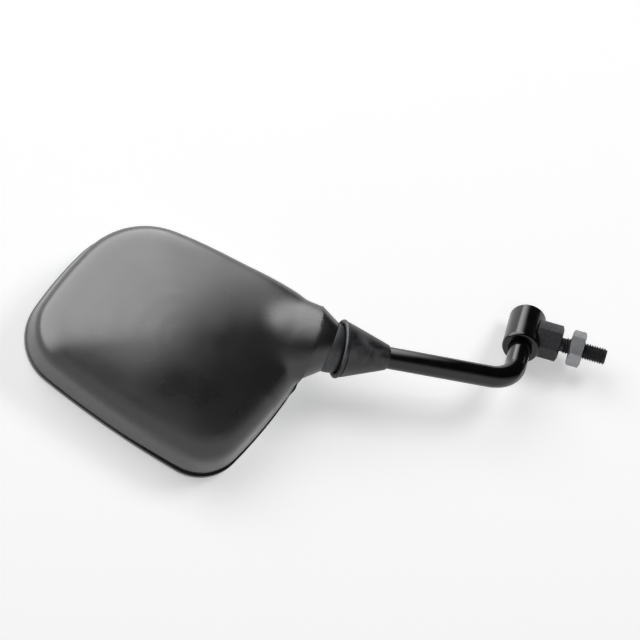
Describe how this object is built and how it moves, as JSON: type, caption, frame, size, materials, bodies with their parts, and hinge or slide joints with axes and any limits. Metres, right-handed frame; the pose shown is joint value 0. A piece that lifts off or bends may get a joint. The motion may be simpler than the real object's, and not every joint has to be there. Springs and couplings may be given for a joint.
{
  "type": "motorcycle mirror",
  "caption": "Motorcycle rear-view mirror: satin black moulded head on a booted ball joint, bent round arm, swivel barrel and threaded mounting stud with a lock nut.",
  "frame": {"origin": "on the stud's axis, at the lower face of the lock nut, where the mirror seats", "axes": "the stud points down along -Z and the arm rises along +Z; the glass faces -Y towards the rider, the rounded back of the head faces +Y, and the head reaches out to +X"},
  "size_m": [0.1516, 0.1238, 0.3313],
  "materials": {
    "dark_steel": "matte",
    "grey_steel": "satin",
    "black_paint": "gloss",
    "bronze": "satin",
    "bare_steel": "satin",
    "spring_steel": "satin",
    "black_rubber": "matte",
    "acetal": "satin",
    "cast_alloy": "matte",
    "black_plastic": "satin",
    "foam": "matte",
    "mirror_glass": "polished"
  },
  "bodies": {
    "bracket": {"hex_stud": "dark_steel", "barrel": "black_paint", "barrel_bush": "bronze", "barrel_cap": "black_paint"},
    "nut": {"lock_nut": "grey_steel"},
    "arm": {"arm": "black_paint", "ball": "bare_steel", "thrust_washer": "bare_steel", "inner_disc_spring": "spring_steel", "outer_disc_spring": "spring_steel", "swivel_nut": "bare_steel", "boot": "black_rubber"},
    "front_seat": {"front_liner": "acetal"},
    "rear_seat": {"rear_liner": "acetal"},
    "head": {"socket": "cast_alloy", "spring_cup": "bare_steel", "joint_spring": "spring_steel", "clamp_plate": "bare_steel", "clamp_screws": "bare_steel", "neck_collar": "black_plastic", "housing": "black_plastic", "backing_plate": "black_plastic", "backing_screws": "bare_steel", "foam_pad": "foam", "glass": "mirror_glass", "bezel": "black_plastic"}
  },
  "joints": [
    {"name": "lock_nut_turn", "type": "hinge", "parent": "bracket", "child": "nut", "pos_m": [0, 0, 0], "axis": [0, 0, 1], "continuous": true},
    {"name": "arm_swivel", "type": "hinge", "parent": "bracket", "child": "arm", "pos_m": [0, 0, 0.0362], "axis": [0.6088, 0.7934, 0], "continuous": true},
    {"name": "head_turn", "type": "hinge", "parent": "arm", "child": "front_seat", "pos_m": [0.03907, 0.06636, 0.14372], "axis": [0.0961, 0.2631, 0.96], "continuous": true},
    {"name": "head_nod", "type": "hinge", "parent": "front_seat", "child": "rear_seat", "pos_m": [0.03907, 0.06636, 0.14372], "axis": [-0.9565, -0.2833, -0.0698], "range_deg": [-0.5, 17]},
    {"name": "head_roll", "type": "hinge", "parent": "rear_seat", "child": "head", "pos_m": [0.03907, 0.06636, 0.14372], "axis": [-0.2771, 0.9569, -0.0869], "range_deg": [-0.5, 27.5]}
  ]
}
